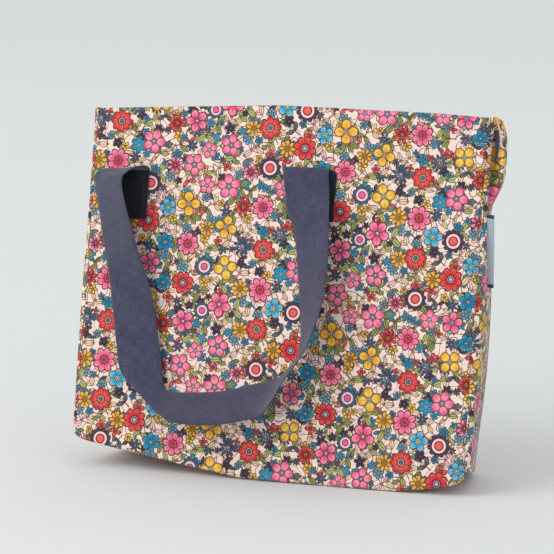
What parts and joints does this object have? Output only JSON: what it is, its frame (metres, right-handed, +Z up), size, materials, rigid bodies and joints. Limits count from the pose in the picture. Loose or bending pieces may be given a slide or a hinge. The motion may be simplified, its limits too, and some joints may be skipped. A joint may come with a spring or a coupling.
{
  "type": "foldable tote bag",
  "caption": "Soft wedge-shaped cloth tote with flat folding body, flat canvas handles that hang or stand, a side tab and an inner stow pocket.",
  "frame": {"origin": "middle of the bounding box's underside: the bag stands on the plane z = 0", "axes": "+X along the bag's width, +Z up, the front panel faces -Y"},
  "size_m": [0.4444, 0.181, 0.3641],
  "materials": {
    "floral_print": "plain-weave cotton with a dense small floral print, matt",
    "cloth_reverse": "paler reverse side of the printed cotton, matt",
    "slate_canvas": "slate-blue yarn-dyed plain weave, matt",
    "seam_binding": "slate-blue bias binding, matt",
    "sewing_thread": "dark blue polyester thread, slight sheen",
    "woven_label": "grey-blue woven tab, satin",
    "stud_metal": "small plated press stud, satin"
  },
  "bodies": {
    "root": {"front_panel": "floral_print", "front_hem": "cloth_reverse", "front_hem_stitching": "sewing_thread", "base_panel": "floral_print", "front_base_seam": "seam_binding", "right_side_front": "floral_print", "right_side_back": "floral_print", "left_side_front": "floral_print", "left_side_back": "floral_print", "front_handle_end_left": "slate_canvas", "front_handle_end_right": "slate_canvas", "front_end_stitching_left": "sewing_thread", "front_end_stitching_right": "sewing_thread"},
    "back": {"back_panel": "floral_print", "back_hem": "cloth_reverse", "back_hem_stitching": "sewing_thread", "back_base_seam": "seam_binding", "back_handle_end_left": "slate_canvas", "back_handle_end_right": "slate_canvas", "back_end_stitching_left": "sewing_thread", "back_end_stitching_right": "sewing_thread", "stow_pocket": "cloth_reverse", "pocket_binding": "seam_binding", "stud_socket": "stud_metal"},
    "right_seam": {"right_side_seam": "seam_binding"},
    "left_seam": {"left_side_seam": "seam_binding"},
    "label": {"side_label": "woven_label"},
    "front_handle": {"front_handle": "slate_canvas"},
    "back_handle": {"back_handle": "slate_canvas"},
    "flap": {"pocket_flap": "cloth_reverse", "stud_cap": "stud_metal"}
  },
  "joints": [
    {"name": "bag_flatten", "type": "hinge", "parent": "root", "child": "back", "pos_m": [-0.00268, 0.03086, 0.414], "axis": [-1, 0, 0], "range_deg": [0, 13.4], "deforming": ["right_side_front", "right_side_back", "left_side_front", "left_side_back", "base_panel"]},
    {"name": "right_seam_follow", "type": "hinge", "parent": "root", "child": "right_seam", "pos_m": [-0.00268, 0.03086, 0.414], "axis": [-1, 0, 0], "range_deg": [0, 6.7]},
    {"name": "left_seam_follow", "type": "hinge", "parent": "root", "child": "left_seam", "pos_m": [-0.00268, 0.03086, 0.414], "axis": [-1, 0, 0], "range_deg": [0, 6.7]},
    {"name": "front_handle_swing", "type": "hinge", "parent": "root", "child": "front_handle", "pos_m": [-0.00268, -0.00224, 0.30219], "axis": [-1, 0, 0], "range_deg": [0, 147]},
    {"name": "back_handle_swing", "type": "hinge", "parent": "back", "child": "back_handle", "pos_m": [-0.00268, 0.03903, 0.30019], "axis": [1, 0, 0], "range_deg": [0, 139]},
    {"name": "label_bend", "type": "hinge", "parent": "root", "child": "label", "pos_m": [0.21173, -0.00338, 0.23], "axis": [0, 0, 1], "range_deg": [-55, 55], "stiffness_Nm_per_rad": 0.002},
    {"name": "pocket_flap_lift", "type": "hinge", "parent": "back", "child": "flap", "pos_m": [-0.00268, 0.03469, 0.20996], "axis": [-1, 0, 0], "range_deg": [0, 177]}
  ],
  "couplings": [
    {"joint": "right_seam_follow", "follows": "bag_flatten", "ratio": 0.5},
    {"joint": "left_seam_follow", "follows": "bag_flatten", "ratio": 0.5}
  ]
}
